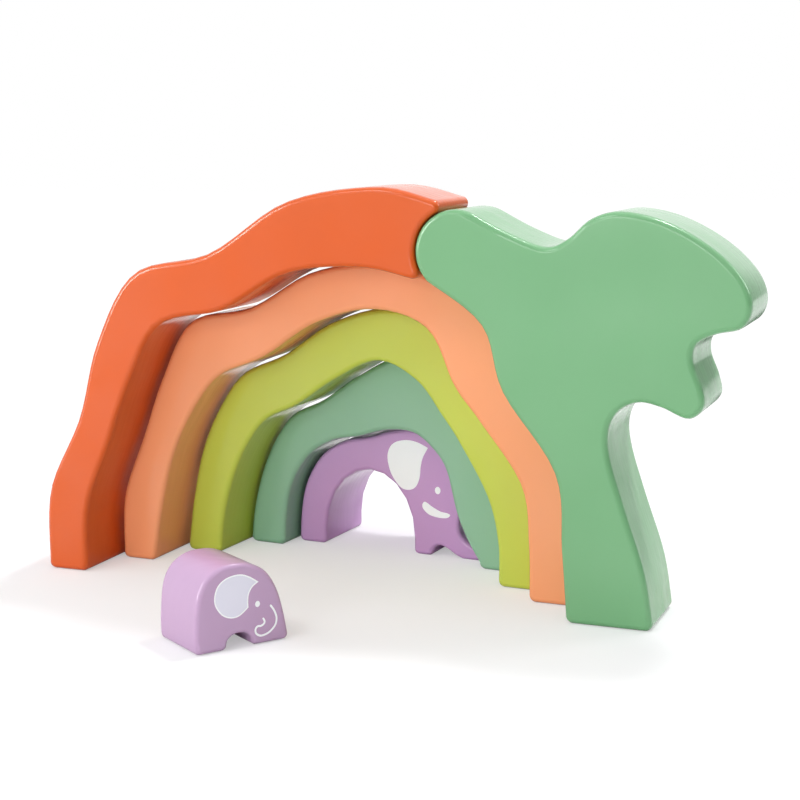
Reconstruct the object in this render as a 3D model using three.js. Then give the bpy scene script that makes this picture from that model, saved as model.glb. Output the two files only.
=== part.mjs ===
// Loose wooden stacking set: three nested arches, a mountain half arch, a tree, a mother elephant and a baby.
// Each block is one board, sawn to an outline in the x z plane and rounded along its front and back edges.
import * as THREE from 'three';

// Driving sizes in millimetres and degrees
const BOARD = 42;
const BABY_BOARD = 31.5;
const WOOD = 20;
const ARCH_EDGE = 2.5;
const ELEPHANT_EDGE = 2;
const CORNER_EXTRA = 0.5;
const NEST_GAP = 1.8;
const SEAT_GAP = 0.5;
const PEACH_SIDE_ROOM = 0.5;
const LIME_SIDE_ROOM = 2.7;

// How far each block stands behind its outer neighbour, and how far it is turned from it
const MOUNTAIN_FORWARD = 26.3;
const MOUNTAIN_TURN = 1.5;
const TREE_FORWARD = 26.2;
const TREE_TURN = 1;
const LIME_BACK = 21.7;
const LIME_TURN = -2.5;
const GREEN_BACK = 26;
const GREEN_TURN = -1;
const MOTHER_BACK = 12.4;
const MOTHER_TURN = 1;
const BABY_ASIDE = 2.5;
const BABY_FORWARD = 115.5;
const BABY_TURN = 56.8;

// The nested outlines are measured along rays from one centre on the floor, from left foot to right foot.
// The wood of each block along the rays is given in shares of the usual thickness.
const RAYS = [180, 163, 146, 132, 119, 105, 91, 78, 66, 55, 45, 28, 14, 0];
const SEAT_ANGLE = 78;
const SIDE_ROOM_ANGLE = 105;
const GREEN_INSIDE = [41.5, 43, 47, 51, 54.5, 56.5, 57.5, 63, 67.5, 66.5, 63.5, 56.5, 57, 62];
const GREEN_SHARES = [0.95, 0.925, 0.9, 0.95, 1.025, 1, 1.45, 1.8, 1.5, 1.2, 1.15, 1.35, 1.2, 0.85];
const LIME_SHARES = [0.915, 0.905, 1.02, 1.115, 1.21, 1.2, 1.325, 1.225, 1.35, 0.95, 0.95, 1.075, 0.9, 0.875];
const PEACH_SHARES = [
  0.875, 1.04, 0.905, 1.095, 1.41, 1.15, 1.15, 1.025, 1.075, 1.725, 1.175, 1.15, 1.025, 1.075,
];
const MOUNTAIN_SHARES = [1.015, 1.045, 0.925, 1.185, 1.275, 1.255, 1.51, 1.725];

// The mother: belly arch, front foot, the notch under her chin and the hollow in front of her trunk
const BELLY_MIDDLE = -1.3;
const BELLY_WIDTH = 47.4;
const BELLY_HEIGHT = 39.2;
const BELLY_SPRING = 8;
const FRONT_FOOT = 10;
const CHIN_LENGTH = 15.2;
const CHIN_HEIGHT = 5.2;
const TRUNK_HOLLOW = 7;
const HOLLOW_ANGLE = 14;
const HOLLOW_HALF_ANGLE = 21;

// The baby: length, height and the notch between its feet
const BABY_LENGTH = 42;
const BABY_HEIGHT = 34.6;
const BABY_NOTCH_WIDTH = 11;
const BABY_NOTCH_HEIGHT = 6;
const BABY_NOTCH_MIDDLE = -1.3;

// The tree: the round lobe beside the mountain, the crown beyond it and the trunk
const LOBE_RADIUS = 17.6;
const LOBE_LIFT = 0.7;
const LOBE_ANGLE = 64.1;
const LOBE_START_ANGLE = 225;
const LOBE_END_ANGLE = 65;
const LOBE_GAP = 0.5;
const CROWN_REACH = 122;
const TRUNK_FOOT = 36.4;
const TIP_ANGLE = 104;
const HEEL_ANGLE = 225;

const ARCH_CORNER = ARCH_EDGE + CORNER_EXTRA;
const ELEPHANT_CORNER = ELEPHANT_EDGE + CORNER_EXTRA;
const RIGHT_ANGLE = Math.PI / 2;
const CENTRE = new THREE.Vector2(0, 0);

function polar(middle, radius, degrees) {
  const angle = THREE.MathUtils.degToRad(degrees);
  return new THREE.Vector2(middle.x + radius * Math.cos(angle), middle.y + radius * Math.sin(angle));
}

// Points of a nested line, with its two foot points lifted to where the rounded foot corners begin
function rayPoints(radii, footHeight) {
  const points = radii.map((radius, i) => polar(CENTRE, radius, RAYS[i]));
  points.forEach((point) => { point.y = Math.max(point.y, footHeight); });
  return points;
}

function sum(first, second) {
  return first.map((value, i) => value + second[i]);
}

// Room round a nested block: even, with more on the left side that fades out towards the top
function roomAround(sideRoom) {
  const reach = RAYS[0] - SIDE_ROOM_ANGLE;
  return RAYS.map((ray) => NEST_GAP + sideRoom * Math.max(0, (ray - SIDE_ROOM_ANGLE) / reach));
}

// The mountain has one leg only, so it rests on the crown of the peach arch
function mountainRoom() {
  return roomAround(PEACH_SIDE_ROOM).map((room, i) => (RAYS[i] === SEAT_ANGLE ? SEAT_GAP : room));
}

// How far from the centre a nested line is at any angle
function radiusAt(radii, degrees) {
  const after = RAYS.findIndex((ray) => ray <= degrees);
  const step = (RAYS[after - 1] - degrees) / (RAYS[after - 1] - RAYS[after]);
  return THREE.MathUtils.lerp(radii[after - 1], radii[after], step);
}

function woodOutside(inside, shares) {
  return shares.map((share, i) => inside[i] + share * WOOD);
}

const GREEN_OUTSIDE = woodOutside(GREEN_INSIDE, GREEN_SHARES);
const LIME_INSIDE = sum(GREEN_OUTSIDE, roomAround(0));
const LIME_OUTSIDE = woodOutside(LIME_INSIDE, LIME_SHARES);
const PEACH_INSIDE = sum(LIME_OUTSIDE, roomAround(LIME_SIDE_ROOM));
const PEACH_OUTSIDE = woodOutside(PEACH_INSIDE, PEACH_SHARES);
const MOUNTAIN_INSIDE = sum(PEACH_OUTSIDE, mountainRoom());
const MOUNTAIN_OUTSIDE = woodOutside(MOUNTAIN_INSIDE, MOUNTAIN_SHARES);

// The lobe of the tree lies on the peach arch, and the end of the mountain goes round it
const LOBE_DISTANCE = radiusAt(MOUNTAIN_INSIDE, LOBE_ANGLE) + LOBE_LIFT + LOBE_RADIUS;
const LOBE_MIDDLE = polar(CENTRE, LOBE_DISTANCE, LOBE_ANGLE);

// Rounded foot corners, drawn clockwise round the outline
function cornerOnRight(outline, x, radius) {
  outline.absarc(x - radius, radius, radius, 0, -RIGHT_ANGLE, true);
}

function cornerOnLeft(outline, x, radius) {
  outline.absarc(x + radius, radius, radius, -RIGHT_ANGLE, -2 * RIGHT_ANGLE, true);
}

function lastOf(points) {
  return points[points.length - 1];
}

// Angle on a corner's circle where a line that comes down from a point outside touches it on the right
function touchAngle(middle, radius, from) {
  const away = from.clone().sub(middle);
  return away.angle() - Math.acos(radius / away.length());
}

// A rounded foot at the right end of an outline. The last of the points is moved along the foot's circle,
// so that the line through them runs into the foot without a kink.
function lineIntoFoot(outline, points, x, radius) {
  const middle = new THREE.Vector2(x - radius, radius);
  const angle = touchAngle(middle, radius, lastOf(points));
  const touch = new THREE.Vector2(Math.cos(angle), Math.sin(angle)).multiplyScalar(radius).add(middle);
  outline.splineThru([...points, touch]);
  outline.absarc(middle.x, middle.y, radius, angle, -RIGHT_ANGLE, true);
}

// A wide arc, drawn in two halves so that it gets twice the points
function wideArc(outline, middle, radius, from, to) {
  const clockwise = to < from;
  const half = (from + to) / 2;
  outline.absarc(middle.x, middle.y, radius, from, half, clockwise);
  outline.absarc(middle.x, middle.y, radius, half, to, clockwise);
}

function block(name, outline, board, edge, paint) {
  const depth = board - 2 * edge;
  const solid = new THREE.ExtrudeGeometry(outline, {
    depth,
    curveSegments: 5,
    bevelThickness: edge,
    bevelSize: edge,
    bevelOffset: -edge,
    bevelSegments: 2,
  });
  solid.translate(0, 0, -depth / 2);
  solid.rotateX(RIGHT_ANGLE);
  const finish = new THREE.MeshStandardMaterial({ color: paint, roughness: 0.4, metalness: 0 });
  const mesh = new THREE.Mesh(solid, finish);
  mesh.name = name;
  return mesh;
}

// A block stands in the frame of its outer neighbour: set along that block's depth and turned from it
function stand(outer, aside, back, turn, mesh) {
  const place = new THREE.Group();
  place.position.set(aside, back, 0);
  place.rotation.z = THREE.MathUtils.degToRad(turn);
  place.add(mesh);
  outer.add(place);
  return place;
}

function archOutline(outside, inside) {
  const over = rayPoints(outside, ARCH_CORNER);
  const under = rayPoints(inside, ARCH_CORNER).reverse();
  const outline = new THREE.Shape();
  outline.moveTo(over[0].x, over[0].y);
  outline.splineThru(over.slice(1));
  cornerOnRight(outline, lastOf(over).x, ARCH_CORNER);
  cornerOnLeft(outline, under[0].x, ARCH_CORNER);
  outline.splineThru(under.slice(1));
  cornerOnRight(outline, lastOf(under).x, ARCH_CORNER);
  cornerOnLeft(outline, over[0].x, ARCH_CORNER);
  return outline;
}

// Middle of the small arc that joins a straight run to the outside of the ring round the tree's lobe.
// The run goes from one point to another, and the arc lies on the given side of it.
function joinMiddle(from, to, side, ring, radius) {
  const run = to.clone().sub(from).normalize();
  const square = new THREE.Vector2(-run.y, run.x).multiplyScalar(side);
  const height = LOBE_MIDDLE.clone().sub(to).dot(square);
  const swing = Math.acos((radius - height) / (ring + radius));
  const lean = square.angle() + side * swing;
  const way = new THREE.Vector2(Math.cos(lean), Math.sin(lean));
  const middle = LOBE_MIDDLE.clone().addScaledVector(way, ring + radius);
  return { middle, lean, square };
}

// The mountain: left foot, wavy crown, a tip and a heel that hold the lobe of the tree between them
function mountainOutline() {
  const corner = ARCH_CORNER;
  const ring = LOBE_RADIUS + LOBE_GAP;
  const over = rayPoints(MOUNTAIN_OUTSIDE, corner);
  const under = rayPoints(MOUNTAIN_INSIDE.slice(0, over.length), corner).reverse();
  const tip = joinMiddle(lastOf(over), polar(LOBE_MIDDLE, ring + corner, TIP_ANGLE), -1, ring, corner);
  const heel = joinMiddle(under[0], polar(LOBE_MIDDLE, ring, HEEL_ANGLE), 1, ring, corner);
  const tipStart = tip.square.angle() + Math.PI;
  const heelEnd = heel.square.angle() - Math.PI;
  const outline = new THREE.Shape();
  outline.moveTo(over[0].x, over[0].y);
  outline.splineThru([...over.slice(1), tip.middle.clone().addScaledVector(tip.square, -corner)]);
  outline.absarc(tip.middle.x, tip.middle.y, corner, tipStart, tip.lean - Math.PI, true);
  wideArc(outline, LOBE_MIDDLE, ring, tip.lean, heel.lean);
  outline.absarc(heel.middle.x, heel.middle.y, corner, heel.lean - Math.PI, heelEnd, true);
  outline.splineThru(under);
  cornerOnRight(outline, lastOf(under).x, corner);
  cornerOnLeft(outline, over[0].x, corner);
  return outline;
}

// The right side of the tree, as shares of the crown's reach from the lobe and of the lobe's height
function crownPoints() {
  const crown = [
    [0.181, 1.057], [0.312, 1.021], [0.39, 1.043], [0.468, 1.097], [0.569, 1.118], [0.716, 1.094],
    [0.863, 1.032], [0.964, 0.956], [1, 0.883], [0.971, 0.827], [0.887, 0.808], [0.825, 0.78],
  ];
  const branch = [
    [0.816, 0.732], [0.846, 0.669], [0.855, 0.617], [0.805, 0.583], [0.716, 0.609], [0.64, 0.619],
    [0.573, 0.593], [0.54, 0.538], [0.548, 0.459],
  ];
  const trunk = [[0.601, 0.325], [0.673, 0.158]];
  const shares = [...crown, ...branch, ...trunk];
  const { x, y } = LOBE_MIDDLE;
  return shares.map(([along, up]) => new THREE.Vector2(x + along * CROWN_REACH, up * y));
}

// The tree: its left side follows the nest, then the lobe, the crown, the low branch and the trunk
function treeOutline() {
  const left = rayPoints(MOUNTAIN_INSIDE, ARCH_CORNER).slice(-5).reverse();
  const lobeStart = THREE.MathUtils.degToRad(LOBE_START_ANGLE);
  const lobeEnd = THREE.MathUtils.degToRad(LOBE_END_ANGLE);
  const outline = new THREE.Shape();
  outline.moveTo(left[0].x, left[0].y);
  outline.splineThru([...left.slice(1), polar(LOBE_MIDDLE, LOBE_RADIUS, LOBE_START_ANGLE)]);
  wideArc(outline, LOBE_MIDDLE, LOBE_RADIUS, lobeStart, lobeEnd);
  lineIntoFoot(outline, crownPoints(), left[0].x + TRUNK_FOOT, ARCH_CORNER);
  cornerOnLeft(outline, left[0].x, ARCH_CORNER);
  return outline;
}

// The back of the mother fills the green arch, but for the hollow in front of her trunk
function motherBack() {
  const hollow = RAYS.map((ray) => 1 - Math.abs(ray - HOLLOW_ANGLE) / HOLLOW_HALF_ANGLE);
  return GREEN_INSIDE.map((radius, i) => radius - NEST_GAP - TRUNK_HOLLOW * Math.max(0, hollow[i]));
}

// The notch under the mother's chin, from its trunk end to her front foot
function chinPoints(foot) {
  const shares = [[0.76, 0.28], [0.49, 0.77], [0.26, 1], [0.08, 0.83]];
  const points = shares.map(([along, up]) => new THREE.Vector2(foot + along * CHIN_LENGTH, up * CHIN_HEIGHT));
  return [...points, new THREE.Vector2(foot, ELEPHANT_CORNER)];
}

// The mother: her back and trunk, the chin notch, the front foot and the belly arch
function motherOutline() {
  const corner = ELEPHANT_CORNER;
  const over = rayPoints(motherBack(), corner);
  const bellyRight = BELLY_MIDDLE + BELLY_WIDTH / 2;
  const bellyLeft = BELLY_MIDDLE - BELLY_WIDTH / 2;
  const bellyRise = BELLY_HEIGHT - BELLY_SPRING;
  const foot = bellyRight + FRONT_FOOT;
  const outline = new THREE.Shape();
  outline.moveTo(over[0].x, over[0].y);
  lineIntoFoot(outline, over.slice(1, -1), lastOf(over).x, corner);
  outline.lineTo(foot + CHIN_LENGTH, 0);
  outline.splineThru(chinPoints(foot));
  cornerOnRight(outline, foot, corner);
  cornerOnLeft(outline, bellyRight, corner);
  outline.absellipse(BELLY_MIDDLE, BELLY_SPRING, BELLY_WIDTH / 2, bellyRise, 0, Math.PI, false);
  outline.lineTo(bellyLeft, corner);
  cornerOnRight(outline, bellyLeft, corner);
  cornerOnLeft(outline, over[0].x, corner);
  return outline;
}

// The baby's back, as shares of its length and height from the rump to the front foot
function babyBack(rump) {
  const shares = [
    [0, 0.3], [0.03, 0.65], [0.115, 0.86], [0.26, 0.975], [0.42, 1],
    [0.59, 0.97], [0.765, 0.85], [0.885, 0.63], [0.955, 0.35],
  ];
  return shares.map(([along, up]) => new THREE.Vector2(rump + along * BABY_LENGTH, up * BABY_HEIGHT));
}

// The baby: a rounded body on two feet
function babyOutline() {
  const corner = ELEPHANT_CORNER;
  const rump = -BABY_LENGTH / 2;
  const notchRight = BABY_NOTCH_MIDDLE + BABY_NOTCH_WIDTH / 2;
  const notchLeft = BABY_NOTCH_MIDDLE - BABY_NOTCH_WIDTH / 2;
  const notchRise = BABY_NOTCH_HEIGHT - corner;
  const outline = new THREE.Shape();
  outline.moveTo(rump, corner);
  lineIntoFoot(outline, babyBack(rump), -rump, corner);
  cornerOnLeft(outline, notchRight, corner);
  outline.absellipse(BABY_NOTCH_MIDDLE, corner, BABY_NOTCH_WIDTH / 2, notchRise, 0, Math.PI, false);
  cornerOnRight(outline, notchLeft, corner);
  cornerOnLeft(outline, rump, corner);
  return outline;
}

const toy = new THREE.Group();
const peach = block('peach_arch', archOutline(PEACH_OUTSIDE, PEACH_INSIDE), BOARD, ARCH_EDGE, '#f0a078');
const mountain = block('orange_mountain', mountainOutline(), BOARD, ARCH_EDGE, '#ee7040');
const tree = block('tree', treeOutline(), BOARD, ARCH_EDGE, '#8fc598');
const lime = block('lime_arch', archOutline(LIME_OUTSIDE, LIME_INSIDE), BOARD, ARCH_EDGE, '#ccd564');
const green = block('green_arch', archOutline(GREEN_OUTSIDE, GREEN_INSIDE), BOARD, ARCH_EDGE, '#8fb9a0');
const mother = block('mother_elephant', motherOutline(), BOARD, ELEPHANT_EDGE, '#b48cb9');
const baby = block('baby_elephant', babyOutline(), BABY_BOARD, ELEPHANT_EDGE, '#c3a5c8');

toy.add(peach);
stand(toy, 0, -MOUNTAIN_FORWARD, MOUNTAIN_TURN, mountain);
stand(toy, 0, -TREE_FORWARD, TREE_TURN, tree);
const limePlace = stand(toy, 0, LIME_BACK, LIME_TURN, lime);
const greenPlace = stand(limePlace, 0, GREEN_BACK, GREEN_TURN, green);
stand(greenPlace, 0, MOTHER_BACK, MOTHER_TURN, mother);
stand(toy, BABY_ASIDE, -BABY_FORWARD, BABY_TURN, baby);

// The origin is the middle of the floor under the whole set
toy.updateMatrixWorld(true);
const box = new THREE.Box3().setFromObject(toy, true);
const middle = box.getCenter(new THREE.Vector3());
toy.position.set(-middle.x, -middle.y, -box.min.z);

export default toy;
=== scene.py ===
# %% [markdown]
# # A wooden elephant stacking set
# There are seven loose blocks. Three nested arches, a mountain, a tree and a mother elephant stand in a row,
# and her baby stands in front of them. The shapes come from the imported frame. This script adds the finishes:
# satin paint over sanded wood, and the printed ears, eyes, smile and trunk line of the two elephants.

# %% Load the frame
import math

import bpy
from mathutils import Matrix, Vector


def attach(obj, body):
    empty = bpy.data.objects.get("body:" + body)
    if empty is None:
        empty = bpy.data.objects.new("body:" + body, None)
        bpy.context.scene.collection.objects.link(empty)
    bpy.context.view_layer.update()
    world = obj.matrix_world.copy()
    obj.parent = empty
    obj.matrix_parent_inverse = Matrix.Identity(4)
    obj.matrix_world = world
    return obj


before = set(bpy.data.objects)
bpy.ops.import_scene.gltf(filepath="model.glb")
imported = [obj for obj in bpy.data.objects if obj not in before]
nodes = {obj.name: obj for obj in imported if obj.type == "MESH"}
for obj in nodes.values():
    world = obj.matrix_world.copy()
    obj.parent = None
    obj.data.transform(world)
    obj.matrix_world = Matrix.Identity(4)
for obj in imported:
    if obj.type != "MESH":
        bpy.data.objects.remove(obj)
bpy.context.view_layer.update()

MM = 0.001
scene = bpy.context.scene
print("blocks:", sorted(nodes))

# %% [markdown]
# ## Rounded edges that catch the light
# Every block is a sawn board whose front and back edges are rounded over. The frame's rounding has only a
# few strips. A finer mesh could stand in for each block, but smooth shading is enough at this size. A Weld
# modifier joins the strips where the file kept them apart, and a planar Decimate turns the triangles of each
# flat front and back into one large face. A Weighted Normal modifier then keeps those faces flat, because it
# gives the largest faces the say over the corners that they share with the rounding.

# %% Smooth the blocks
WELD_REACH = 0.005 * MM
FLAT_WITHIN = math.radians(0.3)
LARGEST_FACE_WINS = 100


def smooth_block(block):
    block.data.shade_smooth()
    weld = block.modifiers.new("join strips", "WELD")
    weld.merge_threshold = WELD_REACH
    whole = block.modifiers.new("whole faces", "DECIMATE")
    whole.decimate_type = "DISSOLVE"
    whole.angle_limit = FLAT_WITHIN
    flat = block.modifiers.new("flat faces", "WEIGHTED_NORMAL")
    flat.mode = "FACE_AREA"
    flat.weight = LARGEST_FACE_WINS


for name, block in nodes.items():
    smooth_block(block)
    print(name, "smoothed, faces in the frame:", len(block.data.polygons))

# %% [markdown]
# ## One pattern for every paint
# The paint is opaque, but the wood below still shows: sanding leaves fine streaks round the edge of each
# board, and the gloss breaks up along them. Each material could have its own noise nodes, but every paint
# and ink needs the same ones, so they are one node group. It takes a paint's colour and how far that may
# drift, and puts out a colour, a roughness, a height for the bump and a share of the gloss.

# %% Sockets of the pattern
SOCKETS = [
    ("Paint", "INPUT", "NodeSocketColor"),
    ("Drift", "INPUT", "NodeSocketFloat"),
    ("Color", "OUTPUT", "NodeSocketColor"),
    ("Roughness", "OUTPUT", "NodeSocketFloat"),
    ("Height", "OUTPUT", "NodeSocketFloat"),
    ("Gloss", "OUTPUT", "NodeSocketFloat"),
]

PATTERN = bpy.data.node_groups.new("Paint over sanded wood", "ShaderNodeTree")
for name, way, kind in SOCKETS:
    PATTERN.interface.new_socket(name, in_out=way, socket_type=kind)
pattern_in = PATTERN.nodes.new("NodeGroupInput")
pattern_out = PATTERN.nodes.new("NodeGroupOutput")
pattern_place = PATTERN.nodes.new("ShaderNodeTexCoord")
print("pattern sockets:", [socket.name for socket in PATTERN.interface.items_tree])

# %% [markdown]
# ## Sanding streaks
# Streaks could be modelled as scratches, but they are far too fine for that. Instead a noise is squeezed
# across the depth of the boards, so its grains become long thin marks that follow the outline. One Map Range
# turns them into roughness, another into the share of the gloss.

# %% Streaks
STREAK_SCALE = (45, 420, 45)
STREAK_MIDDLE = (0.35, 0.65)
STREAK_GLOSS = (0.55, 1)
SATIN_ROUGHNESS = (0.34, 0.46)


def noise(tree, place, scale, detail):
    grains = tree.nodes.new("ShaderNodeTexNoise")
    grains.inputs["Scale"].default_value = scale
    grains.inputs["Detail"].default_value = detail
    tree.links.new(place, grains.inputs["Vector"])
    return grains.outputs["Fac"]


def spread(tree, value, source, target, kind="LINEAR"):
    """Map a value from one pair of ends to another."""
    node = tree.nodes.new("ShaderNodeMapRange")
    node.interpolation_type = kind
    ends = zip(("From Min", "From Max", "To Min", "To Max"), (*source, *target))
    for socket, end in ends:
        node.inputs[socket].default_value = end
    tree.links.new(value, node.inputs["Value"])
    return node


squeeze = PATTERN.nodes.new("ShaderNodeMapping")
squeeze.inputs["Scale"].default_value = STREAK_SCALE
PATTERN.links.new(pattern_place.outputs["Object"], squeeze.inputs["Vector"])
streaks = noise(PATTERN, squeeze.outputs["Vector"], scale=1, detail=3)
dull = spread(PATTERN, streaks, (0, 1), SATIN_ROUGHNESS)
shine = spread(PATTERN, streaks, STREAK_MIDDLE, STREAK_GLOSS)
PATTERN.links.new(dull.outputs["Result"], pattern_out.inputs["Roughness"])
PATTERN.links.new(shine.outputs["Result"], pattern_out.inputs["Gloss"])
PATTERN.links.new(streaks, pattern_out.inputs["Height"])
print("grains per metre along and across the board:", STREAK_SCALE[0], STREAK_SCALE[1])

# %% [markdown]
# ## Colour drift
# Paint never dries perfectly even. A painted mask could show that, but a second, soft noise fits every block
# by itself. It darkens the paint in clouds, and the Drift says by how much at most.

# %% Clouds
CLOUD_SCALE = 22
CLOUD_MIDDLE = (0.25, 0.75)


def one_minus(tree, value):
    rest = tree.nodes.new("ShaderNodeMath")
    rest.operation = "SUBTRACT"
    rest.inputs[0].default_value = 1
    tree.links.new(value, rest.inputs[1])
    return rest.outputs["Value"]


clouds = noise(PATTERN, pattern_place.outputs["Object"], scale=CLOUD_SCALE, detail=2)
brightness = spread(PATTERN, clouds, CLOUD_MIDDLE, (0, 1))
PATTERN.links.new(one_minus(PATTERN, pattern_in.outputs["Drift"]), brightness.inputs["To Min"])
tint = PATTERN.nodes.new("ShaderNodeHueSaturation")
PATTERN.links.new(pattern_in.outputs["Paint"], tint.inputs["Color"])
PATTERN.links.new(brightness.outputs["Result"], tint.inputs["Value"])
PATTERN.links.new(tint.outputs["Color"], pattern_out.inputs["Color"])
print("nodes in the pattern:", len(PATTERN.nodes))

# %% [markdown]
# ## A material with the pattern
# Paints and inks start in the same way: a new material, with the pattern group feeding the colour and the
# roughness of its shader. Colours are written as a display shows them, because they are easy to compare that
# way, so they are changed to the linear values that shaders use.

# %% Patterned material
def linear(display):
    shares = [channel / 255 for channel in display]
    return [s / 12.92 if s <= 0.04045 else ((s + 0.055) / 1.055) ** 2.4 for s in shares] + [1]


def patterned(name, display, drift):
    material = bpy.data.materials.new(name)
    material.use_nodes = True
    tree = material.node_tree
    pattern = tree.nodes.new("ShaderNodeGroup")
    pattern.node_tree = PATTERN
    pattern.inputs["Paint"].default_value = linear(display)
    pattern.inputs["Drift"].default_value = drift
    shader = tree.nodes["Principled BSDF"]
    tree.links.new(pattern.outputs["Color"], shader.inputs["Base Color"])
    tree.links.new(pattern.outputs["Roughness"], shader.inputs["Roughness"])
    return material, shader, pattern


print("middle grey in linear values:", round(linear((128, 128, 128))[0], 3))

# %% [markdown]
# ## Satin gloss
# Satin paint is dull from the front and shines when it is seen along the surface. There it mirrors the
# white room, which is why the tops of the blocks look pale. A lower roughness alone would make the fronts
# shine as well, so the gloss is a clear coat. A Layer Weight node tells how far the surface turns away from
# the viewer and steers the coat, and the streaks break it up.

# %% Satin paint
PAINT_DRIFT = 0.05
BUMP_STRENGTH = 0.12
BUMP_DEPTH = 0.1 * MM
TURNED_AWAY = (0.55, 0.85)
FRONT_GLOSS = 0.45


def times(tree, first, second):
    product = tree.nodes.new("ShaderNodeMath")
    product.operation = "MULTIPLY"
    tree.links.new(first, product.inputs[0])
    tree.links.new(second, product.inputs[1])
    return product.outputs["Value"]


def satin_paint(name, display, most_gloss):
    material, shader, pattern = patterned(name, display, PAINT_DRIFT)
    tree = material.node_tree
    bump = tree.nodes.new("ShaderNodeBump")
    bump.inputs["Strength"].default_value = BUMP_STRENGTH
    bump.inputs["Distance"].default_value = BUMP_DEPTH
    tree.links.new(pattern.outputs["Height"], bump.inputs["Height"])
    tree.links.new(bump.outputs["Normal"], shader.inputs["Normal"])
    turned = tree.nodes.new("ShaderNodeLayerWeight")
    gloss = spread(tree, turned.outputs["Facing"], TURNED_AWAY, (FRONT_GLOSS * most_gloss, most_gloss))
    streaked = times(tree, gloss.outputs["Result"], pattern.outputs["Gloss"])
    tree.links.new(streaked, shader.inputs["Coat Weight"])
    shader.inputs["Coat IOR"].default_value = 1.6
    shader.inputs["Coat Roughness"].default_value = 0.12
    shader.inputs["Specular IOR Level"].default_value = 0.2
    return material


print("gloss from the front:", FRONT_GLOSS, "of the most gloss")

# %% [markdown]
# ## One paint for each block
# Each block has one colour all over. The materials could be made one by one, but only the colour and the
# most gloss differ, so a table and a loop will do. The baby's paint is duller than the rest, so that it
# doesn't mirror the orange blocks behind it.

# %% Paint the blocks
PAINTS = {
    "peach_arch": ("peach_paint", (244, 159, 110), 1),
    "orange_mountain": ("orange_paint", (212, 88, 24), 1),
    "tree": ("leaf_paint", (115, 171, 122), 1),
    "lime_arch": ("lime_paint", (190, 205, 78), 1),
    "green_arch": ("green_paint", (142, 188, 158), 1),
    "mother_elephant": ("purple_paint", (200, 155, 206), 1),
    "baby_elephant": ("lilac_paint", (191, 159, 193), 0.5),
}

for name, (slot, display, most_gloss) in PAINTS.items():
    block = nodes[name]
    block.data.materials.clear()
    block.data.materials.append(satin_paint(slot, display, most_gloss))
    print(name, "painted with", slot)

# %% [markdown]
# ## Where the prints go
# The elephants' faces are printed on the flat front of each block. Their places could be typed in, but the
# block's own mesh says where its front is: the largest face that looks towards the viewer gives the plane,
# and the block's leftmost point along it gives the left edge. Prints are then drawn in millimetres, across
# from the left edge and up from the floor.

# %% Find the front faces
TOWARDS_VIEWER = -0.3


def front_plane(node):
    mesh = nodes[node].data
    seen = [face for face in mesh.polygons if face.normal.y < TOWARDS_VIEWER]
    largest = max(seen, key=lambda face: face.area)
    out = largest.normal.copy()
    along = Vector((-out.y, out.x, 0)).normalized()
    depth = largest.center.dot(out)
    left = min(vertex.co.dot(along) for vertex in mesh.vertices)
    return {"out": out, "along": along, "origin": out * depth + along * left}


def on_front(plane, across, up, lift):
    flat = plane["origin"] + plane["along"] * (across * MM) + Vector((0, 0, up * MM))
    return flat + plane["out"] * (lift * MM)


FRONTS = {node: front_plane(node) for node in ("mother_elephant", "baby_elephant")}
for node, plane in FRONTS.items():
    print(node, "faces", [round(part, 3) for part in plane["out"]])

# %% [markdown]
# ## Smooth outlines
# A print's outline is a smooth curve through a few points, with a sharp corner only where one run of points
# ends and the next begins. A Bezier curve object could do the same, but its handles would all need setting.
# Here each stretch is a cubic whose slopes come from the neighbouring points. A ring closes on itself.

# %% Curves through points
STEPS = 8


def smooth_run(points):
    run = [Vector(point) for point in points]
    padded = [run[0], *run, run[-1]]
    curve = []
    for before, start, end, after in zip(padded, padded[1:], padded[2:], padded[3:]):
        leave = (end - before) / 2
        arrive = (after - start) / 2
        for step in range(STEPS):
            t = step / STEPS
            from_start = (2 * t**3 - 3 * t**2 + 1) * start + (t**3 - 2 * t**2 + t) * leave
            to_end = (3 * t**2 - 2 * t**3) * end + (t**3 - t**2) * arrive
            curve.append(from_start + to_end)
    return curve


def smooth_ring(points):
    count = len(points)
    looped = smooth_run([points[(i - 1) % count] for i in range(count + 3)])
    return looped[STEPS:STEPS * (count + 1)]


print("points on a ring through four corners:", len(smooth_ring([(0, 0), (1, 0), (1, 1), (0, 1)])))

# %% [markdown]
# ## Sheets of ink
# A print could be a mask in the paint's colour, but a thin sheet of its own keeps its edge sharp from near
# and far. Each sheet is one filled face, lifted a few hundredths of a millimetre off the paint. It rides on
# its elephant, so it moves with the block.

# %% Print a sheet
INK = 0.04


def print_sheet(name, node, outline, material, lift=INK):
    corners = [on_front(FRONTS[node], across, up, lift) for across, up in outline]
    mesh = bpy.data.meshes.new(name)
    mesh.from_pydata(corners, [], [tuple(range(len(corners)))])
    mesh.materials.append(material)
    mesh.update()
    sheet = bpy.data.objects.new(name, mesh)
    scene.collection.objects.link(sheet)
    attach(sheet, node)
    print(name, "printed on", node, "with", len(corners), "points")


print("ink lies", INK, "mm above the paint")

# %% [markdown]
# ## Ink
# Ink fills the streaks of the paint below it, so it takes the pattern's colour and roughness but no bump. It
# has less gloss than the paint and hardly drifts in colour. One white would do for most prints, but the
# baby's ear has a white edge round a pale grey middle, so there are two inks.

# %% Ink materials
INK_DRIFT = 0.02


def ink(name, display):
    material, shader = patterned(name, display, INK_DRIFT)[:2]
    shader.inputs["Coat Weight"].default_value = 0.2
    shader.inputs["Coat Roughness"].default_value = 0.3
    return material


WHITE_INK = ink("white ink", (250, 252, 255))
PALE_INK = ink("pale grey ink", (224, 223, 238))
print("inks:", WHITE_INK.name, "and", PALE_INK.name)

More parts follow.
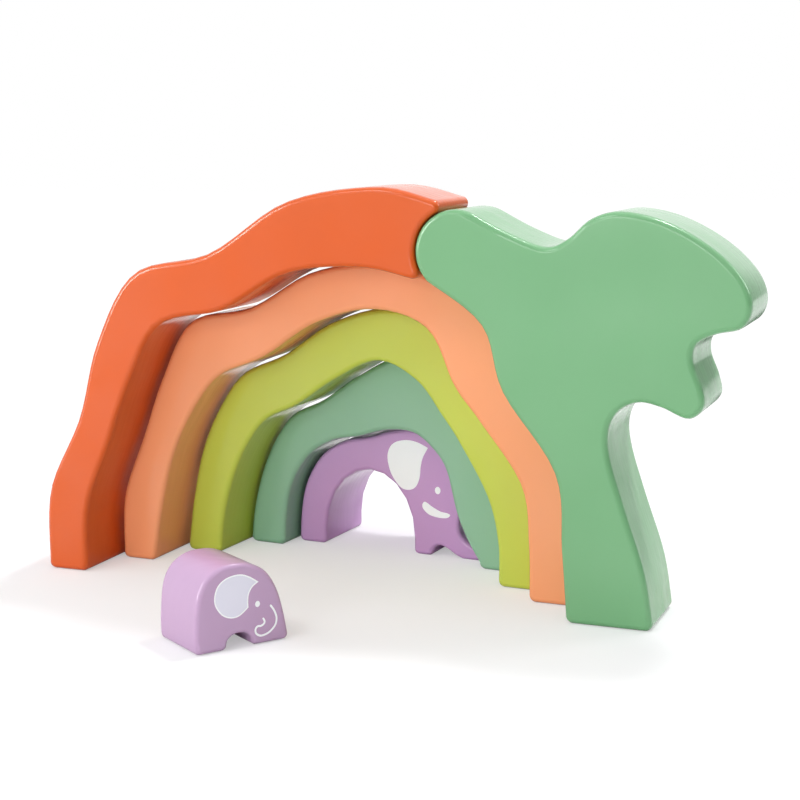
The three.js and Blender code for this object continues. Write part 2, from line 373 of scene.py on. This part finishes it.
# %% [markdown]
# ## The mother's face
# Her ear is round at the back and ends in one sharp tip, high at the front. Below it are an oval eye and a
# smile that is thick at the cheek and thin towards the trunk. The ear is a run, so that its tip stays sharp,
# and the smile is a ring, because it has no corners.

# %% Mother's prints
MOTHER_EAR = [
    (69.6, 52.6), (64.4, 54.8), (59.1, 55.6), (53.9, 54.7), (50.4, 52.5), (48.5, 48.5), (48.6, 44),
    (50.7, 37.8), (55.2, 32.4), (59.4, 31.3), (63.1, 33), (65.2, 37.5), (65.9, 43.5), (67, 47.8),
    (69.6, 52.6),
]
MOTHER_EYE = (74.7, 32.4)
MOTHER_EYE_HALVES = (1.45, 1.8)
MOTHER_SMILE = [
    (68.3, 26.3), (66.8, 25), (67.2, 22.8), (70.2, 20.3), (75, 19.2), (79.5, 19.4), (81.2, 20.9),
    (79.6, 21.8), (76.2, 22.3), (72.2, 24.1),
]


def oval(middle, half_width, half_height, count=32):
    turns = [2 * math.pi * i / count for i in range(count)]
    rim = [Vector((half_width * math.cos(turn), half_height * math.sin(turn))) for turn in turns]
    return [Vector(middle) + point for point in rim]


print_sheet("mother_ear", "mother_elephant", smooth_run(MOTHER_EAR), WHITE_INK)
print_sheet("mother_eye", "mother_elephant", oval(MOTHER_EYE, *MOTHER_EYE_HALVES), WHITE_INK)
print_sheet("mother_smile", "mother_elephant", smooth_ring(MOTHER_SMILE), WHITE_INK)

# %% [markdown]
# ## The baby's ear
# The ear is a round leaf with a tip at the front and a hollow front edge, so its outline is two runs that
# meet in sharp corners. The grey middle could have points of its own, but an outline moved inwards keeps the
# white edge even. In the corners the moved outline would cross itself, so points that come too near to the
# ear's outline are dropped.

# %% Baby's ear
BABY_EAR = [
    (28.3, 25.9), (24.7, 28.4), (21, 30), (17.1, 30.2), (13.1, 29.2), (10, 26.8), (8.5, 23), (8.8, 19),
    (11.6, 14.9), (15.5, 13), (19.5, 13.3), (23.6, 16.1),
]
BABY_EAR_FRONT = [(23.6, 16.1), (23.5, 19), (24, 21.8), (25.6, 24.2), (28.3, 25.9)]
BABY_EAR_EDGE = 0.55
TOO_NEAR = 0.9


def inset(outline, width):
    moved = []
    for before, point, after in zip(outline[-1:] + outline, outline, outline[1:] + outline[:1]):
        run = (after - before).normalized()
        moved.append(point + Vector((-run.y, run.x)) * width)
    return [new for new in moved if min((new - old).length for old in outline) > TOO_NEAR * width]


baby_ear = smooth_run(BABY_EAR) + smooth_run(BABY_EAR_FRONT)
print_sheet("baby_ear", "baby_elephant", baby_ear, WHITE_INK)
print_sheet("baby_ear_middle", "baby_elephant", inset(baby_ear, BABY_EAR_EDGE), PALE_INK, lift=2 * INK)

# %% [markdown]
# ## The baby's eye and trunk
# The eye is a small oval and the trunk a thin curled line. A line could be a bevelled curve, but a flat
# ribbon lies on the paint as ink does: the curve is followed at half the line's width on either side, and
# both ends are closed with a half circle.

# %% Baby's eye and trunk
BABY_EYE = (27.7, 16.9)
BABY_EYE_HALVES = (1.1, 1.25)
BABY_TRUNK = [
    (33.7, 15.3), (35.3, 12.9), (36.3, 9.9), (35.7, 7.1), (33.5, 4.9), (31.2, 3.9), (28.9, 3.7),
    (27, 4.8), (26.6, 6.5), (27.5, 7.7), (29.2, 7.7), (30.5, 8.4), (30.8, 9.4), (30.2, 10.5),
]
TRUNK_LINE = 0.85


def round_end(middle, start, radius):
    first = math.atan2(start.y - middle.y, start.x - middle.x)
    turns = [first - math.pi * i / STEPS for i in range(1, STEPS)]
    return [middle + Vector((math.cos(turn), math.sin(turn))) * radius for turn in turns]


def ribbon(points, width):
    half = width / 2
    run = smooth_run(points)
    run.append(Vector(points[-1]))
    left = []
    right = []
    for before, here, after in zip([run[0]] + run, run, run[1:] + [run[-1]]):
        way = (after - before).normalized()
        side = Vector((-way.y, way.x)) * half
        left.append(here + side)
        right.append(here - side)
    return left + round_end(run[-1], left[-1], half) + right[::-1] + round_end(run[0], right[0], half)


print_sheet("baby_eye", "baby_elephant", oval(BABY_EYE, *BABY_EYE_HALVES), WHITE_INK)
print_sheet("baby_trunk_line", "baby_elephant", ribbon(BABY_TRUNK, TRUNK_LINE), WHITE_INK)

# %% [markdown]
# ## The glow of the floor
# The set stands on a plain white floor that runs out into a white background. More lamp light could make it
# white, but would bleach the blocks too. Instead the floor glows for rays from the camera: weakly near the
# set, where the shadow must stay, and fully further out. At the right of the set it glows for mirrored rays
# too, so that the side of the tree has something white to mirror.

# %% Glow of the floor
GLOW_NEAR_SET = 0.38
GLOW_GROWS = (0.25, 0.6)
RIGHT_OF_SET = (0.12, 0.24)


def soft_ramp(tree, value, source, target):
    return spread(tree, value, source, target, kind="SMOOTHSTEP").outputs["Result"]


def floor_glow(tree, rays, place, axes):
    away = tree.nodes.new("ShaderNodeVectorMath")
    away.operation = "LENGTH"
    tree.links.new(place.outputs["Object"], away.inputs[0])
    near_to_far = soft_ramp(tree, away.outputs["Value"], GLOW_GROWS, (GLOW_NEAR_SET, 1))
    right = soft_ramp(tree, axes.outputs["X"], RIGHT_OF_SET, (0, 1))
    share = tree.nodes.new("ShaderNodeMath")
    share.operation = "ADD"
    tree.links.new(times(tree, near_to_far, rays.outputs["Is Camera Ray"]), share.inputs[0])
    tree.links.new(times(tree, right, rays.outputs["Is Glossy Ray"]), share.inputs[1])
    return share.outputs["Value"]


print("share of the glow close to the set:", GLOW_NEAR_SET)

# %% [markdown]
# ## The colour of the floor
# The inner walls of the arches mirror the floor behind the set. If it were white there, they would lose
# their deep colours. A photographer lays a dark card in such a place. A real card would be seen, so here the
# floor itself turns dark, for mirrored rays alone.

# %% Colour of the floor
FLOOR_SEEN = (0.9, 0.9, 0.92, 1)
FLOOR_BOUNCE = (0.8, 0.8, 0.8, 1)
CARD_GREY = (0.05, 0.05, 0.05, 1)
BEHIND_SET = (0.3, 0.45)


def mix_colours(tree, factor):
    mix = tree.nodes.new("ShaderNodeMix")
    mix.data_type = "RGBA"
    tree.links.new(factor, mix.inputs["Factor"])
    return mix


def floor_colour(tree, rays, axes):
    seen = mix_colours(tree, rays.outputs["Is Camera Ray"])
    seen.inputs["A"].default_value = FLOOR_BOUNCE
    seen.inputs["B"].default_value = FLOOR_SEEN
    behind = soft_ramp(tree, axes.outputs["Y"], BEHIND_SET, (0, 1))
    not_right = soft_ramp(tree, axes.outputs["X"], RIGHT_OF_SET, (1, 0))
    card = times(tree, times(tree, behind, not_right), rays.outputs["Is Glossy Ray"])
    colour = mix_colours(tree, card)
    colour.inputs["B"].default_value = CARD_GREY
    tree.links.new(seen.outputs["Result"], colour.inputs["A"])
    return colour.outputs["Result"]


print("dark floor starts", BEHIND_SET[0], "m behind the middle of the set")

# %% [markdown]
# ## The floor
# A curved backdrop could hide the horizon, but the glow does that already, so one large plane is enough.

# %% Lay the floor
FLOOR_SIZE = 8
GLOW_STRENGTH = 1.05


def floor_material():
    material = bpy.data.materials.new("white floor")
    material.use_nodes = True
    tree = material.node_tree
    rays = tree.nodes.new("ShaderNodeLightPath")
    place = tree.nodes.new("ShaderNodeTexCoord")
    axes = tree.nodes.new("ShaderNodeSeparateXYZ")
    tree.links.new(place.outputs["Object"], axes.inputs["Vector"])
    shader = tree.nodes["Principled BSDF"]
    shader.inputs["Roughness"].default_value = 0.9
    shader.inputs["Specular IOR Level"].default_value = 0.2
    tree.links.new(floor_colour(tree, rays, axes), shader.inputs["Base Color"])
    glow = tree.nodes.new("ShaderNodeEmission")
    glow.inputs["Strength"].default_value = GLOW_STRENGTH
    blend = tree.nodes.new("ShaderNodeMixShader")
    tree.links.new(floor_glow(tree, rays, place, axes), blend.inputs["Fac"])
    tree.links.new(shader.outputs["BSDF"], blend.inputs[1])
    tree.links.new(glow.outputs["Emission"], blend.inputs[2])
    tree.links.new(blend.outputs["Shader"], tree.nodes["Material Output"].inputs["Surface"])
    return material


bpy.ops.mesh.primitive_plane_add(size=FLOOR_SIZE, location=(0, 0, 0))
floor = bpy.context.object
floor.name = "floor"
floor.data.materials.append(floor_material())
print("floor laid, metres across:", FLOOR_SIZE)

# %% [markdown]
# ## The white room
# The room is the world: white for the camera, and a weak, even light for the set. A picture of a studio
# could light the set too, but a few nodes need no file. Mirrored rays see the room white as well, apart from
# a dark card low at the right, because without it the tree's side and the inner walls would lose their
# colour. In a world, Generated coordinates give the direction that is looked in.

# %% World
ROOM_LIGHT = 0.5
CARD_DARKNESS = 0.8
CARD_TOP = (0.2, 0.45)
CARD_LEFT = (0.05, 0.22)


def mirrored_room(tree):
    way = tree.nodes.new("ShaderNodeTexCoord")
    axes = tree.nodes.new("ShaderNodeSeparateXYZ")
    tree.links.new(way.outputs["Generated"], axes.inputs["Vector"])
    low = soft_ramp(tree, axes.outputs["Z"], CARD_TOP, (CARD_DARKNESS, 0))
    right = soft_ramp(tree, axes.outputs["X"], CARD_LEFT, (0, 1))
    return one_minus(tree, times(tree, low, right))


def white_room():
    world = bpy.data.worlds.new("white room")
    world.use_nodes = True
    tree = world.node_tree
    rays = tree.nodes.new("ShaderNodeLightPath")
    seen = spread(tree, rays.outputs["Is Camera Ray"], (0, 1), (ROOM_LIGHT, 1))
    strength = tree.nodes.new("ShaderNodeMix")
    tree.links.new(rays.outputs["Is Glossy Ray"], strength.inputs["Factor"])
    tree.links.new(seen.outputs["Result"], strength.inputs["A"])
    tree.links.new(mirrored_room(tree), strength.inputs["B"])
    back = tree.nodes["Background"]
    back.inputs["Color"].default_value = (1, 1, 1, 1)
    tree.links.new(strength.outputs["Result"], back.inputs["Strength"])
    return world


scene.world = white_room()
print("room light:", ROOM_LIGHT)

# %% [markdown]
# ## Lamps
# Seven area lamps light the set, because a sun or a point would draw hard shadows. The front lamp shines
# into the nest, and the key, top and edge lamps shape the tops and the left sides. The back lamp throws the
# shadow forward, and the side lamp lights the right side of the tree. The rim lamp is for the pale lines
# along the rounded edges, so it shows in the gloss and gives no plain light. The camera sees none of them.

# %% Hang the lamps
LAMPS = {
    "front lamp": {"place": (-0.1, -1.4, 0.4), "aim": (0, 0.05, 0.05), "size": (0.6, 0.6), "watts": 6.4},
    "key lamp": {"place": (-0.4, -0.72, 1), "aim": (0, 0, 0.06), "size": (0.34, 0.34), "watts": 2.8},
    "top lamp": {"place": (0.1, 0, 1.4), "aim": (0, 0, 0), "size": (0.8, 0.8), "watts": 2.5},
    "back lamp": {"place": (0.3, 0.5, 1.25), "aim": (0, 0, 0.05), "size": (0.22, 0.22), "watts": 10},
    "edge lamp": {"place": (-0.55, -0.3, 0.3), "aim": (0.05, 0, 0.12), "size": (0.28, 0.56), "watts": 0.9},
    "side lamp": {"place": (0.6, 0.55, 0.45), "aim": (0.1, 0, 0.06), "size": (0.3, 0.3), "watts": 1.5},
    "rim lamp": {"place": (-0.75, -0.62, 0.35), "aim": (0.05, 0, 0.1), "size": (0.25, 0.6), "watts": 9},
}


def soft_lamp(name, place, aim, size, watts):
    lamp = bpy.data.lights.new(name, "AREA")
    lamp.shape = "RECTANGLE"
    lamp.size = size[0]
    lamp.size_y = size[1]
    lamp.energy = watts
    holder = bpy.data.objects.new(name, lamp)
    holder.location = place
    holder.rotation_euler = (Vector(aim) - Vector(place)).to_track_quat("-Z", "Y").to_euler()
    holder.visible_camera = False
    scene.collection.objects.link(holder)
    return holder


lamps = {name: soft_lamp(name, **values) for name, values in LAMPS.items()}
lamps["rim lamp"].visible_diffuse = False
print("lamps:", list(lamps))

# %% [markdown]
# ## Camera
# The set is seen from the right and slightly above, through a longish lens. The camera could be aimed by a
# constraint, but its place, turn and lens were fitted to the outlines of the blocks, so they are written as
# they were found. The view transform is Standard, so the colours stay as they were mixed.

# %% Set up the camera
CAMERA_PLACE = (0.2774, -0.65951, 0.20315)
CAMERA_SWING = 22.18
CAMERA_DOWN = 9.29
CAMERA_LENS = 75.07
SENSOR_WIDTH = 36

camera_data = bpy.data.cameras.new("camera")
camera_data.lens = CAMERA_LENS
camera_data.sensor_width = SENSOR_WIDTH
camera = bpy.data.objects.new("camera", camera_data)
camera.location = CAMERA_PLACE
camera.rotation_euler = (math.radians(90 - CAMERA_DOWN), 0, math.radians(CAMERA_SWING))
scene.collection.objects.link(camera)
scene.camera = camera
scene.view_settings.view_transform = "Standard"
print("camera lens:", round(camera_data.lens, 2))
